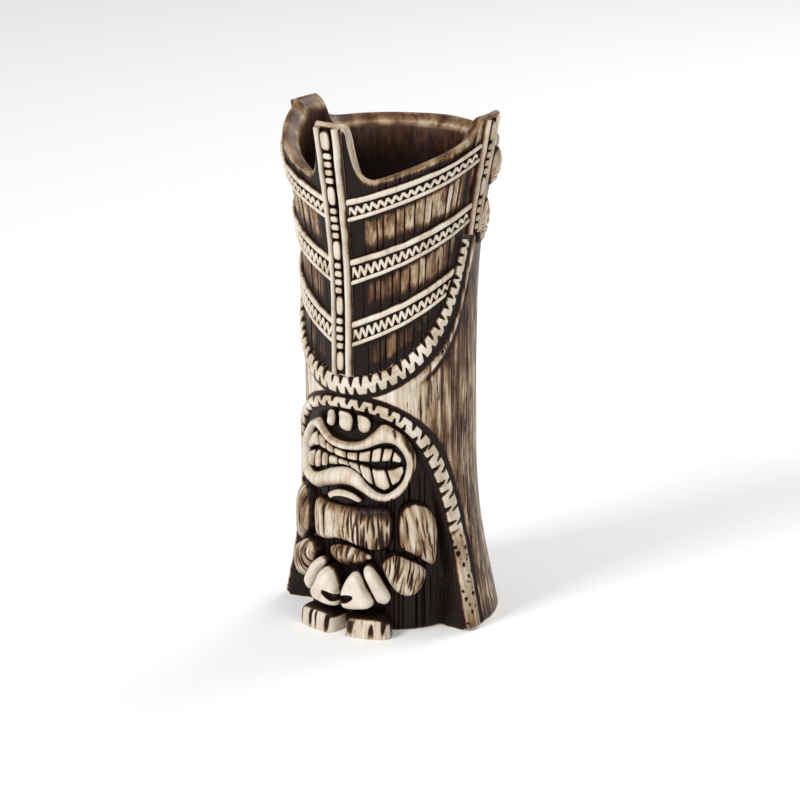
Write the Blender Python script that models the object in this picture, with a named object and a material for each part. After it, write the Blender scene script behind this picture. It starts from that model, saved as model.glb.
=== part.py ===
"""Tiki mug, 200 mm tall: a cast stoneware cup dressed with pressed relief pieces.

The cup is a turned blank whose skin is then shaped: a flared foot, a niche for the squatting figure, and a
crown that opens out to three posts, with a notch on either side of the front one. Every ornament is a separate pressed piece
that is wrapped round the cup and seated on it with a hair's gap, the way a potter lutes on a sprig.

Metres, +Z up. The origin is the middle of the foot. The figure faces -Y. Places on the skin are given as an
angle round the mug, in degrees from the front and positive towards +X, and a height in millimetres.
"""

import math

import bmesh
import bpy
import numpy as np

MM = 0.001

# Driving dimensions
HEIGHT = 200 * MM
NECK_RADIUS = 32.7 * MM
FOOT_RADIUS = 41.7 * MM
FOOT_FLARE_TOP = 65 * MM
NICHE_RADIUS = 30.5 * MM
WALL = 4.2 * MM
FLOOR_TOP = 6 * MM
CROWN_START = 120 * MM
CROWN_SPAN = 60 * MM
CROWN_FLARE = 7 * MM
CROWN_KNEE = 0.85
CORNER_SWELL = 1.5 * MM
CORNER_SPREAD = 13.0
NOTCH_LOW = 178.4 * MM
NOTCH_CLIMB = 0.245 * MM
NOTCH_HIGH = 193 * MM
BACK_RIM = 187 * MM
POST_FALL = 2.8
LIP_SWELL = 1.8 * MM
FIT_GAP = 0.3 * MM
SEAT_DEPTH = 1.6 * MM

# The arch over the figure and the bowl-shaped band under the crown: half widths in degrees, heights in mm
ARCH_INNER = (73.5, 88.5)
ARCH_OUTER = (85.0, 92.6)
ARCH_INNER_POWER = 2.5
ARCH_OUTER_POWER = 2.4
ARCH_RISE_POWER = 2.6
BOWL_INNER = (80.0, 58.5)
BOWL_OUTER = (86.5, 66.0)
BOWL_CENTRE = 160.0

# Posts: where each stands, how far its flat top reaches to either side (degrees) and its height (mm). The left
# one stands a little further back and lower than the right one.
POSTS = [(0, 8.3, 200), (91.5, 9.2, 200), (-97, 9.0, 196.5)]

# Crests: the strips on the posts, with a column of beads in each
CREST_HALF = 6.5
BEAD_SHARE = 0.38
BAND_SAG = 0.9

# Each crest: where it stands, half its width (degrees), where it starts and ends (mm) and how proud its rails are (mm)
CRESTS = [
    ("front_crest", 0, CREST_HALF, 102.3, 198.6, 2.4),
    ("right_crest", 88.8, 5.3, 154, 198.6, 2.0),
    ("left_crest", -94.8, 5.3, 154, 195.2, 2.0),
]
LEFT_TURN = 6.0
BEAD_PERIOD = 21.5
LONG_BEAD = 9.0
SHORT_BEADS = 4

# How finely the pieces are cut
BLANK_STEPS = 72
BALL_SEGMENTS = 16
BALL_RINGS = 6

# Where the plain turned blank has its outer and inner walls, before the skin is shaped
BLANK_OUTER = 40 * MM
BLANK_INNER = 30 * MM
RIM_START = 150 * MM


def smoothstep(low, high, value):
    share = min(1.0, max(0.0, (value - low) / (high - low)))
    return share * share * (3 - 2 * share)


def cape_radius(z):
    """The plain column, with its flared foot."""
    share = max(0.0, 1 - z / FOOT_FLARE_TOP)
    return NECK_RADIUS + (FOOT_RADIUS - NECK_RADIUS) * share**1.6


def crown_flare(z):
    """How far the crown has opened out at this height: a curve that runs on straight above its knee."""
    share = max(0.0, (z - CROWN_START) / CROWN_SPAN)
    if share > CROWN_KNEE:
        return CROWN_FLARE * (2 * CROWN_KNEE * share - CROWN_KNEE**2)
    return CROWN_FLARE * share**2


def niche_share(angle, z):
    """1 in the niche under the arch, 0 outside it."""
    half_width, rise = ARCH_INNER
    inside = 1 - (abs(angle) / half_width) ** ARCH_INNER_POWER - (max(z, 0) / (rise * MM)) ** ARCH_RISE_POWER
    return smoothstep(0.0, 0.14, inside)


def corner_swell(angle, z):
    """The crown's front and back corners stand a little proud."""
    from_corner = min(abs(angle), 180 - abs(angle))
    rise = smoothstep(92 * MM, 104 * MM, z) if abs(angle) < 90 else smoothstep(145 * MM, 160 * MM, z)
    return CORNER_SWELL * rise * math.exp(-((from_corner / CORNER_SPREAD) ** 2))


def skin_radius(angle, z):
    """Outer radius of the cup."""
    plain = cape_radius(z) + crown_flare(z) + corner_swell(angle, z)
    share = niche_share(angle, z)
    return plain + (NICHE_RADIUS - plain) * share


def cavity_radius(z):
    low = NICHE_RADIUS - WALL
    high = NECK_RADIUS - WALL
    return low + (high - low) * smoothstep(80 * MM, 100 * MM, z) + crown_flare(z)


def rim_height(angle):
    """The rim: three posts, a U-shaped notch that climbs from the front one to each side one, and a low back."""
    if -97 < angle < 90:
        low = min(NOTCH_HIGH, NOTCH_LOW + NOTCH_CLIMB * max(0, abs(angle) - 22))
    else:
        low = BACK_RIM
    top = low
    for centre, half, height in POSTS:
        from_post = max(0, abs((angle - centre + 180) % 360 - 180) - half)
        top = max(top, low + (height * MM - low) * math.exp(-from_post / POST_FALL))
    return top


def on_skin(angle, z, proud):
    """A point that stands proud of the cup's skin."""
    radius = skin_radius(angle, z) + proud
    turn = math.radians(angle)
    return (radius * math.sin(turn), -radius * math.cos(turn), z)


def signed_angle(x, y):
    return math.degrees(math.atan2(x, -y))


# --- Materials ---


def glaze(name, colour, roughness):
    material = bpy.data.materials.new(name)
    material.use_nodes = True
    shader = material.node_tree.nodes["Principled BSDF"]
    shader.inputs["Base Color"].default_value = (*colour, 1)
    shader.inputs["Roughness"].default_value = roughness
    shader.inputs["Metallic"].default_value = 0
    return material


# --- The cup ---


def turned(name, profile, collection):
    """A profile of (radius, height) points spun once round Z into one closed mesh."""
    mesh = bpy.data.meshes.new(name)
    bm = bmesh.new()
    points = [bm.verts.new((radius, 0, z)) for radius, z in profile]
    edges = [bm.edges.new(pair) for pair in zip(points, points[1:])]
    bmesh.ops.spin(
        bm,
        geom=points + edges,
        cent=(0, 0, 0),
        axis=(0, 0, 1),
        angle=math.tau,
        steps=BLANK_STEPS,
        use_duplicate=False,
    )
    bmesh.ops.remove_doubles(bm, verts=bm.verts, dist=1e-6)
    bmesh.ops.recalc_face_normals(bm, faces=bm.faces)
    bmesh.ops.triangulate(bm, faces=bm.faces)
    bm.to_mesh(mesh)
    bm.free()
    cup = bpy.data.objects.new(name, mesh)
    collection.objects.link(cup)
    return cup


def shape_cup(cup):
    """Gives the turned blank its skin, its notched rim and its cavity."""
    for vertex in cup.data.vertices:
        x, y, z = vertex.co
        radius = math.hypot(x, y)
        if radius < BLANK_INNER - MM:
            continue
        angle = signed_angle(x, y)
        if z > RIM_START:
            share = (z - RIM_START) / (HEIGHT - RIM_START)
            z = RIM_START + share * (rim_height(angle) - RIM_START)
        outer = skin_radius(angle, z)
        inner = cavity_radius(z) - LIP_SWELL * smoothstep(20 * MM, 5 * MM, rim_height(angle) - z)
        across = (radius - BLANK_INNER) / (BLANK_OUTER - BLANK_INNER)
        wanted = inner + across * (outer - inner)
        vertex.co = (x / radius * wanted, y / radius * wanted, z)


def cup_profile():
    """Underside, outer wall up, rim rounded off well on its inner side, inner wall down, floor."""
    outer_rows = [0, 2, 12, 22, 32, 42, 52, 61, 69, 76, 82, 87, 93, 104, 120, 134, 146, 157, 167, 177, 187, 197]
    inner_rows = [194, 185, 170, 155, 140, 120, 100, 90, 80, 40]
    underside = [(0, 0)]
    outside = [(BLANK_OUTER, z * MM) for z in outer_rows]
    lip = [(BLANK_OUTER - 2 * MM, HEIGHT), (BLANK_INNER + 5 * MM, HEIGHT - 0.6 * MM), (BLANK_INNER + 2 * MM, HEIGHT - 3 * MM)]
    inside = [(BLANK_INNER, z * MM) for z in inner_rows]
    floor = [(BLANK_INNER, FLOOR_TOP + 3 * MM), (BLANK_INNER - 4 * MM, FLOOR_TOP), (0, FLOOR_TOP)]
    return underside + outside + lip + inside + floor


def make_cup(collection, material):
    cup = turned("cup", cup_profile(), collection)
    shape_cup(cup)
    cup.data.materials.append(material)
    return cup


def make_seat_cutter(cup, collection):
    """A plug that hollows the back of each relief piece: the cup's own skin grown by the fitting gap."""
    plug = cup.copy()
    plug.data = cup.data.copy()
    plug.name = "seat_cutter"
    collection.objects.link(plug)
    outward = [vertex.normal.copy() for vertex in plug.data.vertices]
    for vertex, normal in zip(plug.data.vertices, outward):
        x, y, z = vertex.co
        radius = math.hypot(x, y)
        if z < FLOOR_TOP / 2 and radius < BLANK_INNER - MM:
            vertex.co.z -= 5 * MM
        elif radius > (skin_radius(signed_angle(x, y), z) + cavity_radius(z)) / 2:
            vertex.co += FIT_GAP * normal
    plug.hide_render = True
    plug.display_type = "WIRE"
    return plug


# --- Relief pieces ---


def smooth_curve(points, count, closed):
    """Evenly spaced points on a Catmull-Rom curve through (angle, height in mm) points."""
    knots = np.array(points, float)
    if closed:
        knots = np.vstack([knots[-1:], knots, knots[:2]])
    else:
        first = 2 * knots[0] - knots[1]
        last = 2 * knots[-1] - knots[-2]
        knots = np.vstack([first, knots, last])
    fine = []
    for a, b, c, d in zip(knots, knots[1:], knots[2:], knots[3:]):
        for t in np.linspace(0, 1, 12, endpoint=False):
            fine.append(
                0.5 * (2 * b + (c - a) * t + (2 * a - 5 * b + 4 * c - d) * t**2 + (3 * b - a - 3 * c + d) * t**3)
            )
    fine.append(knots[-2])
    fine = np.array(fine)
    steps = np.hypot(np.diff(fine[:, 0]) * math.radians(1) * NECK_RADIUS / MM, np.diff(fine[:, 1]))
    along = np.concatenate([[0], np.cumsum(steps)])
    wanted = np.linspace(0, along[-1], count + 1 if closed else count)
    even = np.stack([np.interp(wanted, along, fine[:, k]) for k in (0, 1)], axis=1)
    return even[:-1] if closed else even


def mirrored(points):
    """The same outline on the other side of the mug, still running anticlockwise."""
    return [(-angle, z) for angle, z in reversed(points)]


# A ball's rings, from its front pole to its back pole: share of the way out, and share of the height
SOFT = [(0, 1), (0.5, 0.96), (0.8, 0.8), (0.95, 0.5), (1, 0.1)]
BOXY = [(0, 1), (0.6, 0.99), (0.86, 0.93), (0.97, 0.7), (1, 0.15)]


def pillow(name, outline, proud, collection, material, rings=SOFT, base=-SEAT_DEPTH):
    """A ball pressed into an outline on the skin: flat behind, crowned in front. proud is in mm."""
    bpy.ops.mesh.primitive_uv_sphere_add(segments=BALL_SEGMENTS, ring_count=BALL_RINGS)
    piece = bpy.context.object
    piece.name = name
    border = smooth_curve(outline, BALL_SEGMENTS, closed=True)
    middle = (border.max(axis=0) + border.min(axis=0)) / 2
    for vertex in piece.data.vertices:
        x, y, z = vertex.co
        ring = round(math.acos(max(-1, min(1, z))) / math.pi * BALL_RINGS)
        segment = round(math.atan2(y, x) / math.tau * BALL_SEGMENTS) % BALL_SEGMENTS
        if ring < len(rings):
            out, rise = rings[ring]
            height = base * (1 - rise) + proud * MM * rise if rise < 0.3 else proud * MM * rise
        else:
            out, height = (1 if ring == BALL_RINGS - 1 else 0), base
        angle, level = middle + out * (border[segment] - middle)
        vertex.co = on_skin(angle, level * MM, height)
    return settle(piece, collection, material)


def strip(name, edge_a, edge_b, section, collection, material, base=-SEAT_DEPTH):
    """A band between two edges on the skin. section lists (share of the way from a to b, height in mm)."""
    rows = len(edge_a)
    bm = bmesh.new()
    bmesh.ops.create_grid(bm, x_segments=rows - 1, y_segments=len(section) - 1, size=1)
    places = {}
    for vertex in bm.verts:
        row = round((vertex.co.x + 1) / 2 * (rows - 1))
        column = round((vertex.co.y + 1) / 2 * (len(section) - 1))
        share, height = section[column]
        height = height[row] if isinstance(height, list) else height
        angle, level = np.array(edge_a[row]) * (1 - share) + np.array(edge_b[row]) * share
        places[(row, column)] = (angle, level)
        vertex.co = on_skin(angle, level * MM, height * MM)
        vertex.index = row * len(section) + column
    front = list(bm.verts)
    below = {tuple(vertex.co): divmod(vertex.index, len(section)) for vertex in front}
    made = bmesh.ops.extrude_face_region(bm, geom=list(bm.faces))
    for vertex in made["geom"]:
        if isinstance(vertex, bmesh.types.BMVert):
            angle, level = places[below[tuple(vertex.co)]]
            vertex.co = on_skin(angle, level * MM, base)
    bmesh.ops.recalc_face_normals(bm, faces=bm.faces)
    mesh = bpy.data.meshes.new(name)
    bm.to_mesh(mesh)
    bm.free()
    piece = bpy.data.objects.new(name, mesh)
    bpy.context.scene.collection.objects.link(piece)
    return settle(piece, collection, material)


def settle(piece, collection, material):
    """Puts a piece in the mug's collection with its glaze and soft shading."""
    for home in list(piece.users_collection):
        home.objects.unlink(piece)
    collection.objects.link(piece)
    piece.data.materials.append(material)
    piece.data.shade_smooth()
    piece.data.set_sharp_from_angle(angle=math.radians(40))
    return piece


def cut_by(piece, cutter):
    cut = piece.modifiers.new("cut_" + cutter.name, "BOOLEAN")
    cut.operation = "DIFFERENCE"
    cut.object = cutter


def stand_flat(piece):
    """Cuts a piece off level with the foot of the mug."""
    bm = bmesh.new()
    bm.from_mesh(piece.data)
    everything = bm.verts[:] + bm.edges[:] + bm.faces[:]
    bmesh.ops.bisect_plane(bm, geom=everything, plane_co=(0, 0, 0), plane_no=(0, 0, 1), clear_inner=True)
    bmesh.ops.holes_fill(bm, edges=[edge for edge in bm.edges if edge.is_boundary])
    bmesh.ops.recalc_face_normals(bm, faces=bm.faces)
    bm.to_mesh(piece.data)
    bm.free()


def half_ellipse(half_width, height, sweep, wide_power=1.0, high_power=1.0):
    """Points (angle, height in mm) over a superellipse, from -sweep to sweep degrees off its top."""
    points = []
    for turn in np.radians(np.linspace(-sweep, sweep, 37)):
        wide = math.copysign(abs(math.sin(turn)) ** wide_power, turn)
        points.append((half_width * wide, height * math.cos(turn) ** high_power))
    return points


def bead_rows(bottom, top):
    """Rows (height, raised or not) of one long bead and four short ones, over and over, from the top down."""
    short = (BEAD_PERIOD - LONG_BEAD - 0.7) / SHORT_BEADS
    rows = []
    level = top
    count = 0
    while True:
        size = LONG_BEAD if count % (SHORT_BEADS + 1) == 0 else short
        if level - size < bottom:
            break
        rows += [(level, False), (level - 0.5, True), (level - size + 0.9, True)]
        level -= size
        count += 1
    rows.append((level, False))
    return rows


def make_crest(name, centre, half, bottom, top, rail, collection, glazes):
    """A post's two rails with a channel between them, and the column of beads in the channel."""
    levels = np.linspace(bottom, top, 1 + round((top - bottom) / 8))
    channel = 1.0
    section = [(0, 0.6), (0.06, rail), (0.2, rail), (0.25, channel), (0.75, channel), (0.8, rail), (0.94, rail), (1, 0.6)]
    edge_a = [(centre - half, z) for z in levels]
    edge_b = [(centre + half, z) for z in levels]
    crest = strip(name, edge_a, edge_b, section, collection, glazes["cream"])
    rows = bead_rows(bottom + 0.3, top - 0.8)
    edge_a = [(centre - half * BEAD_SHARE, z) for z, _ in rows]
    edge_b = [(centre + half * BEAD_SHARE, z) for z, _ in rows]
    heights = [rail if raised else channel + 0.7 for _, raised in rows]
    beads = strip(
        name + "_beads",
        edge_a,
        edge_b,
        [(0, heights), (1, heights)],
        collection,
        glazes["cream"],
        base=channel * MM + FIT_GAP,
    )
    return crest, beads


def band_edge(z_front, z_side, last):
    """One edge of a crown band, climbing from the front crest towards the side crest with a slight sag."""
    first = CREST_HALF + 0.9
    points = []
    for share in np.linspace(0, 1, 9):
        level = z_front + (z_side - z_front) * share - 4 * BAND_SAG * share * (1 - share)
        points.append((first + (last - first) * share, level))
    return points


def make_bands(collection, glazes):
    """Three bands on each front side of the crown, each with two rails and a sunken zigzag ground."""
    section = [(0, 0.5), (0.06, 1.3), (0.2, 1.3), (0.26, 0.5), (0.72, 0.5), (0.78, 1.3), (0.94, 1.3), (1, 0.5)]
    rows = {
        "top": ((162, 182.4, 82.5), (171.2, 189.8, 82.5)),
        "middle": ((137.3, 158.8, 82.5), (147.6, 167, 82.5)),
        "bottom": ((113.4, 131, 66.5), (123.4, 142.2, 73.5)),
    }
    bands = []
    for row, (lower, upper) in rows.items():
        low = band_edge(*lower)
        high = band_edge(*upper)
        bands.append(strip(f"right_{row}_band", low, high, section, collection, glazes["cream"]))
        if row != "bottom":
            low, high = (band_edge(front, side, last + LEFT_TURN) for front, side, last in (lower, upper))
        low, high = ([(-angle, z) for angle, z in edge] for edge in (low, high))
        bands.append(strip(f"left_{row}_band", low, high, section, collection, glazes["cream"]))
    return bands


def make_toothed_bands(collection, glazes):
    """The bowl-shaped band under the crown, and the arch over the figure."""
    crowned = [(0, 0.6), (0.2, 1.7), (0.8, 1.7), (1, 0.6)]
    bowl = []
    for half_width, depth in (BOWL_INNER, BOWL_OUTER):
        curve = half_ellipse(half_width, depth, 83)
        bowl.append([(angle, BOWL_CENTRE - drop) for angle, drop in curve])
    arch = [
        half_ellipse(*ARCH_INNER, 89.7, 2 / ARCH_INNER_POWER, 2 / ARCH_RISE_POWER),
        half_ellipse(*ARCH_OUTER, 89.7, 2 / ARCH_OUTER_POWER, 2 / ARCH_RISE_POWER),
    ]
    bowl_band = strip("bowl_toothed_band", bowl[0], bowl[1], crowned, collection, glazes["cream"])
    arch_band = strip("arch_toothed_band", arch[0], arch[1], crowned, collection, glazes["cream"])
    return [bowl_band, arch_band]


HEAD = [(47, 67), (45, 71.8), (40, 75.6), (33, 79.2), (26, 81.4), (18, 79.2), (9, 77), (0, 76.3)]
HEAD += [(-9, 77), (-18, 79.2), (-26, 81.4), (-33, 79.2), (-40, 75.6), (-45, 71.8), (-47, 67), (-46, 61.5)]
HEAD += [(-41, 56.5), (-33, 53.7), (-24, 53.2), (-12, 55.8), (0, 57.6), (12, 55.8), (24, 53.2), (33, 53.7)]
HEAD += [(41, 56.5), (46, 61.5)]
MIDDLE_NOSTRIL = [(5, 83), (3.6, 86.4), (-3.6, 86.4), (-5, 83), (-4, 79.4), (0, 78.5), (4, 79.4)]
SIDE_NOSTRIL = [(16.3, 82.8), (14.5, 85.4), (9.5, 86), (7.8, 83), (8.6, 80.2), (11.6, 79.5), (15, 80.6)]
CHIN = [(14.5, 52.5), (8, 55), (0, 56.2), (-8, 55), (-14.5, 52.5), (-8, 51.3), (0, 51), (8, 51.3)]
CHEST = [(32.6, 41), (31.6, 47), (26.5, 49.8), (0, 49.6), (-26.5, 49.8), (-31.6, 47), (-32.6, 41), (-29.5, 35)]
CHEST += [(-20, 34.6), (-10, 36), (0, 36), (10, 34.6), (20, 33.4), (29.5, 35)]
BELLY = [(18.6, 30.6), (11, 32.6), (0, 34), (-9, 33.4), (-14.8, 31.2), (-8, 27), (0, 26), (8, 27.2)]
ARM = [(62.2, 38), (60.6, 44.6), (55.4, 49.6), (47, 51.6), (40, 50.4), (36.6, 46.4), (36.4, 39.5), (37.8, 36.2)]
ARM += [(44.4, 33.8), (52, 30.8), (58, 28), (61, 30.2)]
THIGH = [(53.6, 24.6), (50.2, 27.4), (43.6, 29.6), (36, 31.6), (30.4, 31.4), (26.4, 29.2), (25.8, 27), (29, 22.6)]
THIGH += [(32.8, 19), (37, 16.8), (42, 15.8), (47, 16.8), (51.2, 19.8)]
SHIN = [(30.7, 14.8), (29.6, 17.4), (26.2, 21), (22.8, 24.4), (19.4, 26.8), (16, 27.4), (14.2, 26), (16, 22.8)]
SHIN += [(19, 18.8), (21.9, 15.4), (24.4, 13.2), (28, 12.8)]
HAND = [(20.2, 14), (18.3, 16.8), (15.4, 20), (12.9, 23.3), (10.4, 24.9), (7.2, 24.3), (4.2, 21.4), (1.7, 17.4)]
HAND += [(1, 13.8), (2.2, 11.3), (6, 10.6), (12, 10.9), (18, 11.7)]
FOOT = [(31.2, 0), (30.6, 5.6), (28, 7.8), (18, 8.4), (8, 8.2), (5.2, 6.8), (4.4, 3), (4.6, -6), (18, -9), (30.6, -6)]
UPPER_LEAF = [(109.5, 178.5), (106, 183.6), (100.5, 186), (96.1, 182.4), (95.5, 177), (98.5, 172), (103.5, 170.5), (108.5, 173.5)]
LOWER_LEAF = [(109, 159), (105.5, 164.5), (100.5, 166.5), (96.1, 162), (95.5, 155), (98.5, 149.5), (103, 148), (107.5, 152)]

# The mouth and its two rows of teeth: the lower and upper edge, from the figure's middle out to the mouth's corner
MOUTH = (
    [(0, 65.6), (6, 64.7), (12, 61.8), (19, 58.2), (26, 56.4), (33.5, 57.8), (38, 61.5), (40.3, 65.5)],
    [(0, 72), (11, 72.8), (21, 74.6), (30, 74.9), (37, 72.3), (40.3, 68.5)],
)
UPPER_TEETH = ([(0, 69.3), (15, 69), (28, 68.8), (36, 69.3)], [(0, 71.1), (12, 71.9), (22, 73.5), (30, 73.7), (36, 71.4)])
LOWER_TEETH = (
    [(0, 66.6), (7, 65.3), (13, 62.5), (19, 59.6), (26, 57.9), (31, 59), (36, 62.8)],
    [(0, 68.5), (15, 67.6), (28, 66.8), (36, 67.5)],
)


def both_sides(half):
    return [(-angle, z) for angle, z in reversed(half[1:])] + half


def make_head(collection, glazes, cutters):
    """The head, its hollowed mouth, the two rows of teeth seated in it, and the nostrils above."""
    head = pillow("head", HEAD, 5.0, collection, glazes["cream"], BOXY)
    mouth_floor = 2.7
    low, high = (smooth_curve(both_sides(edge), 17, closed=False) for edge in MOUTH)
    hollow = strip("mouth_cutter", low, high, [(0, 9), (0.5, 9), (1, 9)], cutters, glazes["cream"], base=mouth_floor * MM)
    hollow.hide_render = True
    hollow.display_type = "WIRE"
    cut_by(head, hollow)
    for name, edges in (("upper_teeth", UPPER_TEETH), ("lower_teeth", LOWER_TEETH)):
        low, high = (smooth_curve(both_sides(edge), 13, closed=False) for edge in edges)
        crowned = [(0, mouth_floor + 0.9), (0.5, mouth_floor + 1.8), (1, mouth_floor + 0.9)]
        strip(name, low, high, crowned, collection, glazes["cream"], base=mouth_floor * MM + FIT_GAP)
    return [
        head,
        pillow("middle_nostril", MIDDLE_NOSTRIL, 3.6, collection, glazes["cream"]),
        pillow("right_nostril", SIDE_NOSTRIL, 3.2, collection, glazes["cream"]),
        pillow("left_nostril", mirrored(SIDE_NOSTRIL), 3.2, collection, glazes["cream"]),
        pillow("chin", CHIN, 5.4, collection, glazes["cream"]),
    ]


def make_figure(collection, glazes):
    """Chest, belly, and the paired limbs of the squatting figure."""
    pieces = [
        pillow("chest", CHEST, 4.3, collection, glazes["tan"], BOXY),
        pillow("belly", BELLY, 4.6, collection, glazes["tan"]),
    ]
    limbs = {
        "arm": (ARM, 5.6, "tan", SOFT),
        "thigh": (THIGH, 8.0, "tan", SOFT),
        "shin": (SHIN, 9.0, "cream", SOFT),
        "hand": (HAND, 10.2, "cream", SOFT),
        "foot": (FOOT, 10.0, "cream", BOXY),
    }
    for limb, (outline, proud, colour, rings) in limbs.items():
        for side, shape in (("right", outline), ("left", mirrored(outline))):
            piece = pillow(f"{side}_{limb}", shape, proud, collection, glazes[colour], rings)
            if limb == "foot":
                stand_flat(piece)
            pieces.append(piece)
    return pieces


def make_leaves(collection, glazes):
    """Two curled leaves behind each side crest."""
    pieces = []
    for row, outline, proud in (("upper", UPPER_LEAF, 4.0), ("lower", LOWER_LEAF, 3.2)):
        pieces.append(pillow(f"right_{row}_leaf", outline, proud, collection, glazes["tan"]))
        left_outline = [(angle - LEFT_TURN, z) for angle, z in mirrored(outline)]
        pieces.append(pillow(f"left_{row}_leaf", left_outline, proud, collection, glazes["tan"]))
    return pieces


def main():
    for old in list(bpy.data.objects):
        bpy.data.objects.remove(old, do_unlink=True)
    mug = bpy.data.collections.new("tiki_mug")
    cutters = bpy.data.collections.new("cutters")
    bpy.context.scene.collection.children.link(mug)
    bpy.context.scene.collection.children.link(cutters)
    glazes = {
        "wood": glaze("wood_wash_glaze", (0.27, 0.17, 0.10), 0.4),
        "cream": glaze("cream_glaze", (0.66, 0.58, 0.46), 0.3),
        "tan": glaze("tan_wash_glaze", (0.42, 0.31, 0.19), 0.35),
    }
    cup = make_cup(mug, glazes["wood"])
    plug = make_seat_cutter(cup, cutters)

    seated = []
    for name, centre, half, bottom, top, rail in CRESTS:
        seated.append(make_crest(name, centre, half, bottom, top, rail, mug, glazes)[0])
    seated += make_bands(mug, glazes)
    seated += make_toothed_bands(mug, glazes)
    seated += make_head(mug, glazes, cutters)
    seated += make_figure(mug, glazes)
    seated += make_leaves(mug, glazes)
    for piece in seated:
        cut_by(piece, plug)


main()
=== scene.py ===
"""A tiki mug, 200 mm tall: slip-cast stoneware with a carved figure in a niche under a notched crown.

Each piece is laid out flat, as a potter presses a sprig on the bench: an angle round the mug in degrees from
the front, positive towards +X, a level in millimetres up from the table, and how proud of the cup it stands,
in millimetres. It is then wrapped round the cup. Colour is a dark wash brushed over cream glaze and wiped
back, so each mesh carries four finishes at its points: the wash (pooled black wash, with painted shade added
on the cup's planks, inside the cup and at the top of the chest), the stain (cream to brown, with painted
shade inside the cup and a painted highlight along the lip), bark (how much the surface is scored like wood)
and grain (millimetres, with the wood grain along z).
"""

import math

import bpy
import numpy as np
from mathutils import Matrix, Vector


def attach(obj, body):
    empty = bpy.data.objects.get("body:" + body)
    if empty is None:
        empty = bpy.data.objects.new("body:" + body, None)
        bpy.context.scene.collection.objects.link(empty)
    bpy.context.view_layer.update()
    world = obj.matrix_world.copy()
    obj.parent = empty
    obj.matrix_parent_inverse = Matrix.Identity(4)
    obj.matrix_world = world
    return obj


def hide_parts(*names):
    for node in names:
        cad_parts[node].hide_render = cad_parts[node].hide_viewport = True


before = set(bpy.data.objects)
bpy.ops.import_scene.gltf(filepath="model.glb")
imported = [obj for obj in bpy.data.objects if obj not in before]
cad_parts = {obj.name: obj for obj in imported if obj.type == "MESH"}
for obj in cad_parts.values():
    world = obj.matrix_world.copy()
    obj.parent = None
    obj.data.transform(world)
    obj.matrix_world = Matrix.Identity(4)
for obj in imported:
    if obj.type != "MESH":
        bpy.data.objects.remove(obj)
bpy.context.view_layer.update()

# --- The cup --------------------------------------------
# A tall slip-cast cup with a flared foot, a niche scooped out for the figure and a crown that opens into
# three posts. The crown is scored into planks and the column like bark, then washed, wiped back and glazed.

MM = 0.001
HEIGHT = 200
NECK = 32.7
NICHE = 30.5
WALL = 4.2
LIP_SWELL = 1.8
FLOOR_TOP = 6
FLOOR_ROUND = 8
FOOT_FLARE = 9
FOOT_TOP = 65
CROWN_START = 120
CROWN_FLARE = 7
NOTCH_LOW = 178.4
NOTCH_HIGH = 193
BACK_RIM = 187
CREST_HALF = 6.5
# The arch: half its width in degrees, its height, and how square its shoulders are.
ARCH_INNER = (73.5, 88.5, 2.5)
ARCH_OUTER = (85, 92.6, 2.4)
ARCH_HEAD = 2.6
# The bowl-shaped bottom of the crown: half its width in degrees, and its depth below its top.
BOWL_INNER = (80, 58.5)
BOWL_OUTER = (86.5, 66)
BOWL_TOP = 160
# Each post: the angle of its middle, half its width in degrees, and the level of its top.
POSTS = ((0, 8.3, 200), (91.5, 9.2, 200), (-97, 9, 196.5))
# Each crown band's lower edge and upper edge: its level at the front crest, its level at the side crest, and
# the angle where it ends.
BANDS = {
    "top": ((162, 182.4, 82.5), (171.2, 189.8, 82.5)),
    "middle": ((137.3, 158.8, 82.5), (147.6, 167, 82.5)),
    "bottom": ((113.4, 131, 66.5), (123.4, 142.2, 73.5)),
}


def ease(low, high, value):
    share = np.clip((value - low) / (high - low), 0, 1)
    return share * share * (3 - 2 * share)


def arch(angle, level, size):
    """Above 0 under the arch, below 0 outside it."""
    half_width, rise, squareness = size
    return 1 - (np.abs(angle) / half_width) ** squareness - (np.maximum(level, 0) / rise) ** ARCH_HEAD


def bowl(angle, level, size):
    """Above 0 inside the bowl-shaped bottom of the crown, below 0 outside it."""
    half_width, depth = size
    below = np.maximum(BOWL_TOP - level, 0)
    return 1 - (np.abs(angle) / half_width) ** 2 - (below / depth) ** 2


def distance(shape, angle, level, size):
    """Millimetres inside a curve drawn on the cup, true near the curve; negative outside it."""
    mean_radius = 34
    degree = math.radians(1) * mean_radius
    value = shape(angle, level, size)
    across = (shape(angle + 0.2, level, size) - shape(angle - 0.2, level, size)) / (0.4 * degree)
    up = (shape(angle, level + 0.2, size) - shape(angle, level - 0.2, size)) / 0.4
    return value / np.maximum(np.hypot(across, up), 0.004)


def crown_lean(level):
    """How far the wall leans out in the crown: a curve that runs straight on near the rim."""
    share = np.clip((level - CROWN_START) / 60, 0, None)
    return CROWN_FLARE * np.where(share > 0.85, 1.7 * share - 0.7225, share**2)


def skin(angle, level):
    """The cup's outside radius: round, with a slight swell at each side, and scooped out for the niche."""
    flare = FOOT_FLARE * np.clip(1 - level / FOOT_TOP, 0, 1) ** 1.6
    swell_start = np.where(np.abs(angle) < 90, ease(92, 104, level), ease(145, 160, level))
    from_corner = np.minimum(np.abs(angle), 180 - np.abs(angle))
    swell = 1.5 * swell_start * np.exp(-((from_corner / 13) ** 2))
    plain = NECK + flare + crown_lean(level) + swell
    return plain + (NICHE - plain) * ease(0, 0.14, arch(angle, level, ARCH_INNER))


def cavity(level):
    """The cup's inside radius, before the lip thickens."""
    return NICHE - WALL + (NECK - NICHE) * ease(80, 100, level) + crown_lean(level)


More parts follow.
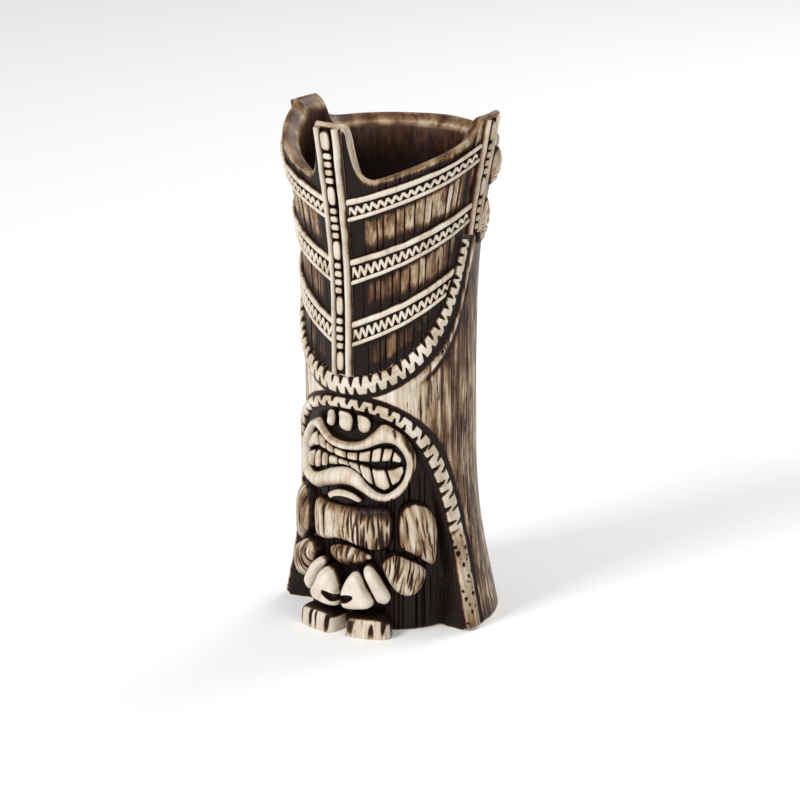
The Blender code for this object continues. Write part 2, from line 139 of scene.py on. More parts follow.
def rim(angle):
    """The rim: three posts, a U-shaped notch that climbs from the front one to each side, and a low back."""
    front = (angle > -97) & (angle < 90)
    notch = NOTCH_LOW + 0.245 * np.maximum(np.abs(angle) - 22, 0)
    low = np.where(front, np.minimum(NOTCH_HIGH, notch), BACK_RIM)
    top = low
    for centre, half, height in POSTS:
        from_post = np.maximum(0, np.abs(signed(angle - centre)) - half)
        top = np.maximum(top, low + (height - low) * np.exp(-from_post / 2.8))
    return top


def signed(angle):
    """The same angle between -180 and 180 degrees."""
    return (angle + 180) % 360 - 180


def band_level(ends, angle):
    """The level of a crown band's edge, which sags a little between the front crest and the side crest."""
    front, side, last = ends
    share = (np.abs(angle) - CREST_HALF - 0.9) / (last - CREST_HALF - 0.9)
    return front + (side - front) * share - 3.6 * share * (1 - share)


def wobble(across, along, size, seed):
    """Slow unevenness of hand work, mostly between -1 and 1, with bumps about size millimetres long."""
    rng = np.random.default_rng(seed)
    total = 0
    for _ in range(5):
        turn, phase, pace = rng.uniform(0, math.tau), rng.uniform(0, math.tau), rng.uniform(0.6, 1.6)
        ahead = across * math.cos(turn) + along * math.sin(turn)
        total = total + np.sin(math.tau * pace * ahead / size + phase)
    return total / 3


def coordinates(piece):
    """A piece's points as rows of x, y and z."""
    points = np.empty(len(piece.data.vertices) * 3)
    piece.data.vertices.foreach_get("co", points)
    return points.reshape(-1, 3)


def wrap(piece, angle, radius, level):
    """Moves a piece's points to an angle, radius and level on the mug."""
    turn = np.radians(angle)
    points = np.stack([radius * np.sin(turn), -radius * np.cos(turn), level], axis=1) * MM
    piece.data.vertices.foreach_set("co", points.ravel())
    piece.data.update()


def brush(piece, **finishes):
    """Stores finishes at a piece's points for its glaze to read."""
    for name, values in finishes.items():
        values = np.broadcast_to(values, (len(piece.data.vertices), *np.shape(values)[1:]))
        kind, key = ("FLOAT_VECTOR", "vector") if values.ndim == 2 else ("FLOAT", "value")
        stored = piece.data.attributes.new(name, kind, "POINT")
        stored.data.foreach_set(key, np.ascontiguousarray(values, np.float32).ravel())


def colour(code):
    """An sRGB hex colour as the linear colour a shader takes."""
    parts = [int(code[i : i + 2], 16) / 255 for i in (1, 3, 5)]
    return (*(p / 12.92 if p <= 0.04045 else ((p + 0.055) / 1.055) ** 2.4 for p in parts), 1)


def add(tree, kind, inputs, **settings):
    """Adds a node with its own settings; each input is a value, or an output to link."""
    node = tree.nodes.new("ShaderNode" + kind)
    for name, value in settings.items():
        setattr(node, name, value)
    for name, value in inputs.items():
        if isinstance(value, bpy.types.NodeSocket):
            tree.links.new(value, node.inputs[name])
        else:
            node.inputs[name].default_value = value
    return node


WASH_AND_SHADE_BLACK = "#1B0F0A"
GLAZE_IOR = 1.5
SOFT_SHEEN = 0.17
GRAIN_RELIEF = 0.35 * MM


def glaze(name, tones):
    """Satin glaze over wiped wash: its tones run from clean cream to the darkest stain, under black pools of
    wash and of painted shade.
    """
    material = bpy.data.materials.new(name)
    material.use_nodes = True
    tree = material.node_tree
    shader = tree.nodes["Principled BSDF"]
    stored = {}
    for key in ("wash", "stain", "bark"):
        stored[key] = add(tree, "Attribute", {}, attribute_name=key).outputs["Fac"]
    grain = add(tree, "Attribute", {}, attribute_name="grain").outputs["Vector"]

    def noise(scale, detail=3.0, roughness=0.55):
        """Noise whose bumps per millimetre are given across, through and along the grain."""
        place = add(tree, "Mapping", {"Vector": grain, "Scale": scale})
        inputs = {"Vector": place.outputs["Vector"], "Scale": 1.0, "Detail": detail, "Roughness": roughness}
        return add(tree, "TexNoise", inputs).outputs["Fac"]

    def math_node(operation, first, second=0.0, third=0.0):
        return add(tree, "Math", {0: first, 1: second, 2: third}, operation=operation).outputs["Value"]

    def between(value, low, high, out_low=0.0, out_high=1.0):
        limits = {"Value": value, "From Min": low, "From Max": high, "To Min": out_low, "To Max": out_high}
        return add(tree, "MapRange", limits, interpolation_type="SMOOTHSTEP").outputs["Result"]

    # Brown streaks run down the grain, a few millimetres wide, with softer blotches of stain between them.
    streaks = noise((0.55, 0.55, 0.035), 5.0, 0.65)
    blotches = noise((0.12, 0.12, 0.07), 3.0)
    fine = noise((2.2, 2.2, 0.5), 4.0, 0.6)
    streak_push = math_node("MULTIPLY", math_node("SUBTRACT", streaks, 0.5), 1.9)
    blotch_push = math_node("MULTIPLY", math_node("SUBTRACT", blotches, 0.5), 0.7)
    amount = between(stored["bark"], 0.0, 1.0, 0.2, 1.0)
    stain = math_node("MULTIPLY_ADD", math_node("ADD", streak_push, blotch_push), amount, stored["stain"])
    # Round every pool of wash the cream is dirtied brown, and round painted shade it is darkened brown,
    # further in some places than in others.
    patches = math_node("SUBTRACT", noise((0.5, 0.5, 0.2), 4.0), 0.5)
    smeared = math_node("MULTIPLY_ADD", patches, 0.7, stored["wash"])
    stain = math_node("MULTIPLY_ADD", between(smeared, -0.06, 0.56), 0.5, stain)
    ramp = add(tree, "ValToRGB", {"Fac": stain})
    stops = ramp.color_ramp.elements
    while len(stops) < len(tones):
        stops.new(0.5)
    for stop, (place, code) in zip(stops, tones):
        stop.position = place
        stop.color = colour(code)

    # Cracks are the contour lines of stretched noise: hair-thin, wandering down the grain and broken here
    # and there.
    lines = math_node("ABSOLUTE", math_node("SUBTRACT", noise((0.42, 0.42, 0.018), 2.5), 0.5))
    broken = between(noise((0.2, 0.2, 0.045), 2.0), 0.46, 0.6)
    hair = math_node("MULTIPLY", between(lines, 0.014, 0.05, 1.0, 0.0), broken)
    cracks = math_node("MULTIPLY", hair, stored["bark"])

    # The wash pools in the carving with a ragged edge, and it fills the cracks. Painted shade carried with
    # the wash turns black the same way.
    ragged = math_node("MULTIPLY_ADD", math_node("SUBTRACT", fine, 0.5), 0.5, stored["wash"])
    pooled_wash_and_shade = between(math_node("MAXIMUM", ragged, math_node("MULTIPLY", cracks, 0.9)), 0.3, 0.85)
    mixed = add(tree, "Mix", {0: pooled_wash_and_shade, 6: ramp.outputs["Color"], 7: colour(WASH_AND_SHADE_BLACK)}, data_type="RGBA")
    tree.links.new(mixed.outputs[2], shader.inputs["Base Color"])

    roughness = math_node("MULTIPLY_ADD", fine, 0.2, 0.28)
    tree.links.new(roughness, shader.inputs["Roughness"])
    ribs = math_node("MULTIPLY", math_node("MULTIPLY", streaks, amount), 0.8)
    heights = math_node("MULTIPLY_ADD", cracks, -1.0, ribs)
    bump = add(tree, "Bump", {"Height": heights, "Strength": 0.5, "Distance": GRAIN_RELIEF})
    tree.links.new(bump.outputs["Normal"], shader.inputs["Normal"])
    shader.inputs["IOR"].default_value = GLAZE_IOR
    shader.inputs["Specular IOR Level"].default_value = SOFT_SHEEN
    return material


def seat(piece, nodes, material):
    """Gives a finished piece its glaze and its place in the mug."""
    piece.data.materials.clear()
    piece.data.materials.append(material)
    bpy.ops.object.select_all(action="DESELECT")
    piece.select_set(True)
    bpy.context.view_layer.objects.active = piece
    bpy.ops.object.mode_set(mode="EDIT")
    bpy.ops.mesh.select_all(action="SELECT")
    bpy.ops.mesh.remove_doubles(threshold=1e-6)
    bpy.ops.mesh.normals_make_consistent(inside=False)
    bpy.ops.object.mode_set(mode="OBJECT")
    bpy.ops.object.shade_smooth_by_angle(angle=math.radians(55))
    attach(piece, "root")
    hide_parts(*nodes)


# The slab is a grid rolled into a tube: close columns where the carving is and wider ones round the back. Its
# rows follow the wall from the middle of the foot, up the outside, over the lip and down to the middle of the
# floor. Each row is a kind, an amount and a level; the rows of the lip give a share of the wall and a drop.
COLUMNS = np.concatenate([np.arange(-95, 95, 0.5), np.linspace(95, 265, 137)])
niche_rows = np.arange(1.3, 78, 1.45)
neck_rows = np.arange(78, 106, 0.62)
crown_rows = np.linspace(106, HEIGHT - 2, 46)
slab = [("fixed", 0, 0), ("fixed", 12, 0), ("fixed", 24, 0), ("inset", 1.4, 0), ("inset", 0.5, 0.3)]
FOOT_ROWS = len(slab)
slab += [("wall", 1, level) for level in (*niche_rows, *neck_rows, *crown_rows)]
lip = [(0.985, 1.2), (0.94, 0.6), (0.87, 0.2), (0.78, 0), (0.66, 0.1), (0.52, 0.55), (0.38, 1.3)]
lip += [(0.25, 2.3), (0.13, 3.5), (0.04, 4.8)]
slab += [("lip", share, HEIGHT - drop) for share, drop in lip]
slab += [("wall", 0, level) for level in np.linspace(HEIGHT - 6.2, 16, 18)]
for turn in np.radians([0, 25, 50, 75, 90]):
    rounding = FLOOR_ROUND * (1 - math.cos(turn)), FLOOR_TOP + FLOOR_ROUND * (1 - math.sin(turn))
    slab.append(("floor", *rounding))
slab += [("fixed", 9, FLOOR_TOP), ("fixed", 0, FLOOR_TOP)]

bpy.ops.object.select_all(action="DESELECT")
bpy.ops.mesh.primitive_grid_add(x_subdivisions=len(COLUMNS) - 1, y_subdivisions=len(slab) - 1, size=2)
cup = bpy.context.object
cup.name = "glazed_cup"
flat = coordinates(cup)
column = np.rint((flat[:, 0] + 1) / 2 * (len(COLUMNS) - 1)).astype(int)
row = np.rint((flat[:, 1] + 1) / 2 * (len(slab) - 1)).astype(int)
kinds = np.array([kind for kind, _, _ in slab])[row]
amounts = np.array([amount for _, amount, _ in slab])[row]
level = np.array([height for _, _, height in slab])[row]
angle = COLUMNS[column]
angle = np.where(angle > 180, angle - 360, angle)
top = rim(angle)
STRETCH_FROM = 150
stretched = STRETCH_FROM + (level - STRETCH_FROM) * (top - STRETCH_FROM) / (HEIGHT - STRETCH_FROM)
level = np.where(level > STRETCH_FROM, stretched, level)
outer, inner = skin(angle, level), cavity(level) - LIP_SWELL * ease(20, 5, top - level)
radius = np.select(
    [kinds == "fixed", kinds == "inset", kinds == "floor"],
    [amounts, outer - amounts, NICHE - WALL - amounts],
    inner + amounts * (outer - inner),
)

# Planks between the crests, from the bowl band up: a gap every few degrees, each plank proud or shy.
GROOVE_DEPTH = 0.55
rng = np.random.default_rng(5)
away = np.abs(angle)
outside = (kinds == "wall") & (amounts == 1)
in_crown = outside & (angle < 84) & (angle > -90) & (away > CREST_HALF) & (level < top - 2.2)
in_crown &= bowl(angle, level, BOWL_INNER) > 0
gaps = 10 + np.cumsum(rng.choice([3.5, 4.5, 5.0, 6.0, 7.5, 9.0], 18))
above_band = [level > band_level(BANDS[name][0], angle) for name in ("top", "middle", "bottom")]
row_shift = np.select(above_band, [0, 2, 4], 1)
plank = np.searchsorted(gaps, away + row_shift)
from_gap = np.min(np.abs((away + row_shift)[:, None] - gaps[None]), axis=1)
broken = ease(-0.9, -0.4, wobble(np.round(away), level, 20, 6))
groove = np.exp(-((from_gap / 0.36) ** 2)) * in_crown * broken
proud = rng.uniform(-0.25, 0.25, 40)[plank] * in_crown
plank_tone = rng.uniform(-0.12, 0.12, 40)[plank + 6 * (row_shift > 1)]

# The niche wall is gouged down its length, and the column has long open cracks towards its sides.
GOUGE_DEPTH = 0.6
CRACK_DEPTH = 0.4


def scored(starts, count, reaches, middles, taper):
    """Straight cuts down the cup's wall: 1 along each cut, fading out at its ends."""
    cuts = np.zeros(len(angle))
    for start in rng.choice(starts, count, replace=False):
        reach = rng.uniform(*reaches)
        middle = rng.uniform(*middles)
        fade = ease(reach, reach * taper, np.abs(level - middle))
        cuts = np.maximum(cuts, (np.abs(angle - start) < 0.3) * fade)
    return cuts


niche = ease(0, 0.14, arch(angle, level, ARCH_INNER)) * outside
gouge = scored(np.arange(-84, 84, 0.5), 90, (8, 30), (0, 60), 0.7)
sides = np.concatenate([np.arange(-95, -33, 0.5), np.arange(33, 95, 0.5)])
crack = scored(sides, 110, (5, 26), (10, 150), 0.6)
clear_of_arch = ease(-2.5, -5, distance(arch, angle, level, ARCH_OUTER))
clear_of_bowl = ease(-7, -10, distance(bowl, angle, level, BOWL_OUTER))
crack *= outside * clear_of_arch * np.where(away < 90, clear_of_bowl, 1)

# Wash lies black round the arch and the bowl band. On the planks, painted shade darkens the wood along each
# crown band, mostly above it, beside the crests and along the bowl band. A light rim with a dark line runs
# below the bowl band at the sides.
INK_DEPTH = 0.45
from_arch = -distance(arch, angle, level, ARCH_OUTER)
from_bowl = -distance(bowl, angle, level, BOWL_OUTER)
front = away < 95
wider = 1.7 * ease(38, 72, away)
ink = ease(2.0 + 0.7 * wider, 1.0 + 0.7 * wider, from_arch) * (from_arch > -2) * front
ink = np.maximum(ink, ease(2.4 + wider, 1.4 + wider, from_bowl) * (from_bowl > -2) * front * (level < 156))
light_rim = np.exp(-(((from_bowl - 3.7 - wider * 0.8) / 0.75) ** 2))
light_rim = light_rim * ease(40, 64, away) * front * (level < 152)
rim_line = np.exp(-(((from_bowl - 5.4 - wider * 0.8) / 0.7) ** 2))
rim_line = rim_line * ease(46, 64, away) * front * (level < 150)
in_arch = ease(-0.8, 0.4, distance(arch, angle, level, ARCH_INNER)) * outside
# Painted shade: dark above each crown band, a little below it, beside the crests and along the bowl band's
# inner edge.
shade = np.zeros(len(angle))
for lower, upper in BANDS.values():
    under = band_level(lower, angle) - level
    over = level - band_level(upper, angle)
    reach = 5.4 - 2.0 * ease(35, 70, away)
    shade = np.maximum(shade, np.clip(1.05 - over / reach, 0, 1) * (over > -6))
    shade = np.maximum(shade, np.clip(1 - under / 2, 0, 1) * (under > -6))
shade = np.maximum(shade, 1.2 * ease(19, 10, away))
shade = np.maximum(shade, ease(72, 82, away) * 0.8)
shade = np.maximum(shade, ease(4.5, 1.5, distance(bowl, angle, level, BOWL_INNER)))
last_panel = ease(2, -3, level - band_level(BANDS["bottom"][0], angle))
middle_panel = ease(2, -2, level - band_level(BANDS["middle"][0], angle))

# Wash in the cuts, round the arch and in the niche, with the painted shade of the planks mixed in.
cut_wash = [ink, groove * 1.2, crack * 0.95, rim_line * 0.7]
wash = np.maximum.reduce([*cut_wash, in_arch * (0.62 + 0.38 * gouge), shade * in_crown * 0.72])
side = ease(28, 72, away)
stain = np.where(outside, 0.13 + 0.4 * side, 0.5)
stain = stain + outside * side * (0.14 * ease(24, 0, level) + 0.16 * ease(96, 120, level))
in_panel = 0.36 + plank_tone + 0.2 * ease(38, 12, away) + 0.1 * middle_panel + 0.22 * last_panel
stain = np.where(in_crown, in_panel, stain)
stain = np.maximum(stain, in_arch * 0.95)
under_rim = outside & ~in_crown & (level > top - 9) & (away < 130)
stain = np.where(under_rim, 0.42 - 0.2 * ease(14, 8, away), stain)
on_lip = kinds == "lip"
lip_stain = 0.3 + 0.2 * ease(10, 26, away) + 0.12 * ease(0.85, 0.5, amounts)
lip_stain = lip_stain + 0.12 * wobble(angle * 0.7, amounts * 4, 9, 8)
# A painted highlight: a light line along the lip's rounded inner edge, where it turns down into the cup.
lip_stain = lip_stain - 0.25 * np.exp(-(((amounts - 0.14) / 0.1) ** 2))
stain = np.where(on_lip, lip_stain, stain)
wash = np.where(on_lip, 0, wash)
# Painted shade inside the cup: the brown glaze turns darker and blacker the deeper it lies below the rim.
inside = (kinds == "floor") | ((kinds == "wall") & (amounts == 0)) | ((kinds == "fixed") & (row > FOOT_ROWS))
stain = np.where(inside, 0.72 + 0.26 * ease(6, 22, top - level), stain)
wash = np.where(inside, 0.45 * ease(6, 40, top - level), wash)
stain = np.where(row < FOOT_ROWS, 0.2, stain)
stain = stain * (1 - light_rim) + 0.16 * light_rim
wash = wash * (1 - light_rim)
bark = np.where(outside, 0.3 + 0.7 * side, 0.1)
bark = np.where(in_crown, 0.6, bark)
bark = np.maximum(bark, niche)

radius = radius - groove * GROOVE_DEPTH - crack * CRACK_DEPTH - niche * gouge * GOUGE_DEPTH + proud
radius = radius + 0.7 * light_rim - 0.3 * rim_line
radius = radius + outside * (0.22 * wobble(angle * 0.58, level, 34, 3) - INK_DEPTH * ink)
wrap(cup, angle, radius, level)
turn = np.radians(angle)
grain = np.stack([radius * np.sin(turn), -radius * np.cos(turn), level], axis=1)
brush(cup, wash=wash, stain=stain, bark=bark, grain=grain)

# Transparent satin glaze over iron-brown wash on cream clay: the thinner the wash, the lighter the tone.
GLAZE_TONES = [(0.0, "#E5DBCE"), (0.18, "#D4C8B6"), (0.34, "#B5A187"), (0.5, "#86694B")]
GLAZE_TONES += [(0.66, "#573A26"), (0.83, "#2F1C13"), (1.0, "#190E0A")]
wood_glaze = glaze("satin_glaze_over_wood_wash", GLAZE_TONES)
seat(cup, ["cup"], wood_glaze)

# --- Crests and their beads -----------------------------
# Three upright strips, one on each post, with a rail down either side of a channel. In the channel stands a
# string of pressed beads, one long and four short, over and over. Both are wiped back to cream.

# A degree round the mug is about this many millimetres, near enough for grain.
MM_PER_DEGREE = 0.6
# A crest's sunken ground stands this high; its rails' place and half width are shares of its width.
GROUND = 0.9
RAIL_PLACE = 0.135
RAIL_HALF = 0.12
# A bead's width is a share of its crest's; a long bead and four short ones make up a period.
BEAD_SHARE = 0.37
BEAD_PERIOD = 21.5
LONG_BEAD = 8.7
# How far a strip's underside and its long edges are pressed into the cup, so that no gap shows.
PRESSED_IN = -1.0
EDGE_IN = -0.4
# Satin glaze on clay that was wiped nearly clean: warm cream, with black only where the carving is deep.
cream_glaze = glaze("satin_cream_glaze", GLAZE_TONES)


def strip(name, rows, columns):
    """A slab of clay, with each point's share along it and across it, and whether it is on top."""
    bpy.ops.object.select_all(action="DESELECT")
    bpy.ops.mesh.primitive_grid_add(x_subdivisions=rows, y_subdivisions=columns, size=2)
    piece = bpy.context.object
    piece.name = name
    bpy.ops.object.mode_set(mode="EDIT")
    bpy.ops.mesh.select_all(action="SELECT")
    bpy.ops.mesh.extrude_region_move(TRANSFORM_OT_translate={"value": (0, 0, 1)})
    bpy.ops.object.mode_set(mode="OBJECT")
    points = coordinates(piece)
    return piece, (points[:, 0] + 1) / 2, (points[:, 1] + 1) / 2, points[:, 2] > 0.5


def ridge(across, middle, half):
    """A rounded rail: 1 along its middle and 0 from half away."""
    return np.sqrt(np.clip(1 - (np.abs(across - middle) / half) ** 2.6, 0, 1))


def straight_grain(angle, level):
    """Grain that runs straight down the mug."""
    return np.stack([angle * MM_PER_DEGREE, 0 * angle, level], axis=1)


def make_crest(name, centre, half, bottom, top, rail, tone, seed):
    piece, along, across, on_top = strip(name, 260, 30)
    level = bottom + (top - bottom) * along
    drift = 0.012 * wobble(level, 0, 26, seed)
    near_rail = ridge(across, RAIL_PLACE + drift, RAIL_HALF)
    rails = np.maximum(near_rail, ridge(across, 1 - RAIL_PLACE + drift, RAIL_HALF))
    height = GROUND + (rail - GROUND) * rails + 0.12 * wobble(level, across * 8, 9, seed + 1)
    height = np.where((across < 0.02) | (across > 0.98), EDGE_IN, height)
    height = np.where((along < 0.002) | (along > 0.998), height - 0.7, height)
    angle = centre + half * (2 * across - 1)
    wash = ease(0.66, 0.24, rails) * np.where((across > 0.2) & (across < 0.8), 1, 0.85)
    wash = np.where(along > 0.998, 0.3, wash)
    wrap(piece, angle, skin(signed(angle), level) + np.where(on_top, height, PRESSED_IN), level)
    stain = tone + 0.08 * wobble(level, 0, 30, seed)
    brush(piece, wash=wash, stain=stain, bark=0.25, grain=straight_grain(angle, level))
    seat(piece, [name.replace("carved_", "")], cream_glaze)


def join(pieces, name):
    """Makes the pieces one object."""
    bpy.ops.object.select_all(action="DESELECT")
    for piece in pieces:
        piece.select_set(True)
    bpy.context.view_layer.objects.active = pieces[0]
    bpy.ops.object.join()
    pieces[0].name = name
    return pieces[0]


def make_beads(name, centre, half, bottom, top, rail, tone, seed):
    """One bead modelled as a ball pressed nearly square, then copied down the channel."""
    bpy.ops.object.select_all(action="DESELECT")
    bpy.ops.mesh.primitive_uv_sphere_add(segments=24, ring_count=14)
    pattern = bpy.context.object
    ball = coordinates(pattern)
    boxy = np.sign(ball) * np.abs(ball) ** 0.62
    rng = np.random.default_rng(seed)
    short = (BEAD_PERIOD - LONG_BEAD) / 4
    beads, top, count = [], top - 0.6, 0
    while True:
        size = LONG_BEAD if count % 5 == 0 else short
        if top - size < bottom:
            break
        bead = pattern.copy()
        bead.data = pattern.data.copy()
        bpy.context.collection.objects.link(bead)
        level = top - size / 2 + boxy[:, 2] * (size / 2 - 0.3)
        share = BEAD_SHARE + rng.uniform(-0.025, 0.025)
        angle = centre + half * share * boxy[:, 0] + rng.uniform(-0.2, 0.2)
        height = 0.6 + (rail - 0.35) * boxy[:, 1]
        wrap(bead, angle, skin(signed(angle), level) + height, level)
        wash = ease(0.8, 0.2, ball[:, 1]) * 0.9
        stain = tone + rng.uniform(-0.05, 0.1)
        brush(bead, wash=wash, stain=stain, bark=0.15, grain=straight_grain(angle, level))
        beads.append(bead)
        top -= size
        count += 1
    bpy.data.objects.remove(pattern)
    seat(join(beads, name), [name.replace("pressed_", "")], cream_glaze)


for node, centre, half, bottom, top, rail, tone, seed in (
    ("front_crest", 0, CREST_HALF, 102, 198.8, 3.4, 0.13, 11),
    ("right_crest", 88.8, 5.3, 154, 198.8, 2.6, 0.28, 12),
    ("left_crest", -94.8, 5.3, 154, 195.4, 2.6, 0.28, 13),
):
    make_crest("carved_" + node, centre, half, bottom, top, rail, tone, seed)
    make_beads("pressed_" + node + "_beads", centre, half, bottom, top, rail, tone, seed + 20)

# --- Crown bands ----------------------------------------
# Three bands climb each front side of the crown. Each has a stout upper rail, a thinner lower one and, on
# the sunken ground between, a raised zigzag that stays cream while the wash fills the ground. A tooth of the
# zigzag rises more steeply than it falls.

ZIGZAG_PITCH = 4.15
RISING = 0.36
FALLING = 0.64
LEFT_TURN = 6


def make_band(row, side):
    """Models one band; the left post stands LEFT_TURN degrees further round, so its bands are longer."""
    lower, upper = BANDS[row]
    piece, along, across, on_top = strip(f"carved_{side}_{row}_band", 420, 40)
    further = LEFT_TURN if side == "left" and row != "bottom" else 0
    low_end, high_end = lower[2] + further, upper[2] + further
    first = CREST_HALF + 0.5
    away = first + (low_end + (high_end - low_end) * across - first) * along
    floor = band_level((*lower[:2], low_end), away)
    ceiling = band_level((*upper[:2], high_end), away)
    level = floor + (ceiling - floor) * across
    width = ceiling - floor
    seed = len(row) + len(side)
    drift = 0.3 * wobble(away, 0, 22, seed)
    mm_up = across * width
    low_rail = ridge(mm_up, 1.05 + 0.3 * drift, 0.95)
    thinner = 0.4 * ease(30, 78, away) * (row == "top")
    high_rail = ridge(mm_up, width - 1.35 + thinner + 0.4 * drift, 1.3 - thinner)
    phase = (away - first) / ZIGZAG_PITCH + 0.06 * wobble(away, 0, 9, seed + 5)
    tooth = phase % 1
    swing = np.where(tooth < RISING, tooth / RISING, (1 - tooth) / FALLING)
    bottom_tip, top_tip = 2.65, width - 3.8 + 2 * thinner
    slope = (top_tip - bottom_tip) / (ZIGZAG_PITCH * 0.62 * np.where(tooth < RISING, RISING, FALLING))
    off_line = np.abs(mm_up - bottom_tip - (top_tip - bottom_tip) * swing) / np.sqrt(1 + slope**2)
    zigzag = ridge(off_line, 0, 0.7) * (mm_up > bottom_tip - 0.5) * (mm_up < top_tip + 0.5)
    zigzag = zigzag * ease(0, 1.2, phase * ZIGZAG_PITCH) * ease(high_end - 0.5, high_end - 2, away)
    raised = np.maximum.reduce([low_rail * 0.92, high_rail, zigzag * 0.8])
    height = 0.35 + 1.45 * raised
    height = np.where((across < 0.015) | (across > 0.985), EDGE_IN, height)
    angle = away * (1 if side == "right" else -1)
    wrap(piece, angle, skin(angle, level) + np.where(on_top, height, PRESSED_IN), level)
    stain = 0.13 + 0.08 * wobble(away, level, 25, seed + 2) + 0.12 * ease(60, 85, away)
    wash = ease(0.66, 0.22, raised)
    brush(piece, wash=wash, stain=stain, bark=0.2, grain=straight_grain(angle, level))
    seat(piece, [f"{side}_{row}_band"], cream_glaze)


for row_name in BANDS:
    for side_name in ("right", "left"):
        make_band(row_name, side_name)

# --- Toothed bands --------------------------------------
# A bowl-shaped band closes the crown and an arch frames the figure. Both are rounded strips with wedge-shaped
# nicks cut by turns from either edge, so that the cream left between them runs in a zigzag.


def curve_edge(points, count):
    """Points evenly spaced along a line of (angle, level) points, and the line's length in millimetres."""
    points = np.array(points)
    steps = np.hypot(np.diff(points[:, 0]) * MM_PER_DEGREE, np.diff(points[:, 1]))
    along = np.concatenate([[0], np.cumsum(steps)])
    even = np.linspace(0, along[-1], count)
    return np.stack([np.interp(even, along, points[:, k]) for k in (0, 1)], axis=1), along[-1]


def make_toothed_band(name, inner, outer, pitch, depths, seed, worn):
    """Models a band between two edges; between the two levels of worn its nicks give way to dots."""
    rows = 620
    (inner, inner_length), (outer, outer_length) = curve_edge(inner, rows + 1), curve_edge(outer, rows + 1)
    piece, along, across, on_top = strip("carved_" + name, rows, 28)
    index = np.rint(along * rows).astype(int)
    place = inner[index] * (1 - across)[:, None] + outer[index] * across[:, None]
    angle, level = place[:, 0], place[:, 1]
    length = (inner_length + outer_length) / 2
    run = along * length
    rng = np.random.default_rng(seed)
    nick = np.zeros(len(angle))
    count = int(length / pitch) + 1
    for shift, from_edge in ((0.0, across), (0.5, 1 - across)):
        centres = (np.arange(count) + shift + rng.uniform(-0.14, 0.14, count)) * pitch
        nearest = np.argmin(np.abs(run[:, None] - centres[None]), axis=1)
        depth = rng.uniform(*depths, count)[nearest]
        mouth = rng.uniform(0.65, 1.1, count)[nearest]
        lean = rng.uniform(-0.5, 0.5, count)[nearest] * from_edge
        off = np.abs(run - centres[nearest] - lean)
        half = mouth * np.clip(1 - from_edge / depth, 0, 1) + 0.16
        nick = np.maximum(nick, ease(half + 0.16, half - 0.16, off) * (from_edge < depth))
    dots = ease(*worn, level)
    nick = nick * (1 - dots)
    flat_x = angle * MM_PER_DEGREE
    spots = wobble(flat_x, level, 4.2, seed + 3) * wobble(flat_x, level, 7, seed + 4)
    nick = np.maximum(nick, dots * ease(0.18, 0.4, spots))
    crown = ridge(across, 0.5, 0.52)
    height = 0.3 + 1.7 * crown - 1.2 * nick * crown + 0.12 * wobble(run, across * 5, 6, seed + 5)
    height = np.where((across < 0.015) | (across > 0.985), EDGE_IN, height)
    wrap(piece, angle, skin(angle, level) + np.where(on_top, height, PRESSED_IN), level)
    wash = np.maximum(nick, ease(0.6, 0.2, crown))
    stain = 0.16 + 0.12 * wobble(run, across * 4, 18, seed + 6) + 0.24 * dots
    brush(piece, wash=wash, stain=stain, bark=0.3, grain=np.stack([across * 7, 0 * angle, run], axis=1))
    seat(piece, [name], cream_glaze)


ARCH_FOOT = 1.2
BOWL_END = 83
sweep = np.radians(np.linspace(-90, 90, 361))
arch_edges = []
for half_width, rise, squareness in (ARCH_INNER, ARCH_OUTER):
    wide = np.sign(sweep) * np.abs(np.sin(sweep)) ** (2 / squareness)
    high = np.maximum(rise * np.clip(np.cos(sweep), 0, 1) ** (2 / ARCH_HEAD), ARCH_FOOT)
    arch_edges.append(np.stack([half_width * wide, high], axis=1))
bowl_edges = []
for half_width, depth in (BOWL_INNER, BOWL_OUTER):
    turn = sweep * BOWL_END / 90
    bowl_edges.append(np.stack([half_width * np.sin(turn), BOWL_TOP - depth * np.cos(turn)], axis=1))
ARCH_PITCH = 5.6
BOWL_PITCH = 4.2
# The level where the nicks start to wear into dots, and the level where they all have.
WORN = (46, 34)
NOT_WORN = (0, -1)
make_toothed_band("arch_toothed_band", *arch_edges, ARCH_PITCH, (0.42, 0.64), 41, WORN)
make_toothed_band("bowl_toothed_band", *bowl_edges, BOWL_PITCH, (0.34, 0.56), 51, NOT_WORN)

# --- The face -------------------------------------------
# A head that is nearly all mouth: one thick ring of lip with deep wash inside, two rows of teeth set in it,
# three nostrils in the hollow above and a small crescent chin below. Outlines are (angle, level) points.

HEAD = [(48, 68), (46.5, 73.5), (42, 78), (35, 81.8), (27, 84.2), (20, 80.6), (12, 76.8), (0, 75.4)]
HEAD += [(-10, 76.2), (-17, 78.6), (-23, 82.4), (-30, 80.8), (-37, 76.6), (-43.5, 70), (-46, 63.5)]
HEAD += [(-43.5, 58), (-35, 54.2), (-26, 53.4), (-16, 55.6), (0, 57.8), (11, 56), (22, 52.8), (34, 54)]
HEAD += [(43.5, 60)]
MOUTH = [(41, 67), (38.2, 72), (33.5, 75), (28, 75.8), (22, 75), (15, 73.3), (8, 72.3), (0, 72.1)]
MOUTH += [(-7, 72.4), (-13, 73.6), (-20, 76.2), (-27, 78), (-32.5, 75.6), (-37.5, 69.8), (-39, 64)]
MOUTH += [(-36.5, 59.6), (-30, 59.6), (-22, 61.4), (-12, 64), (0, 65.5), (8.5, 63.8), (17, 58.6), (27, 55.9)]
MOUTH += [(37, 60)]
# The backs of the face and the figure are pressed this far into the cup.
SUNK = -0.8


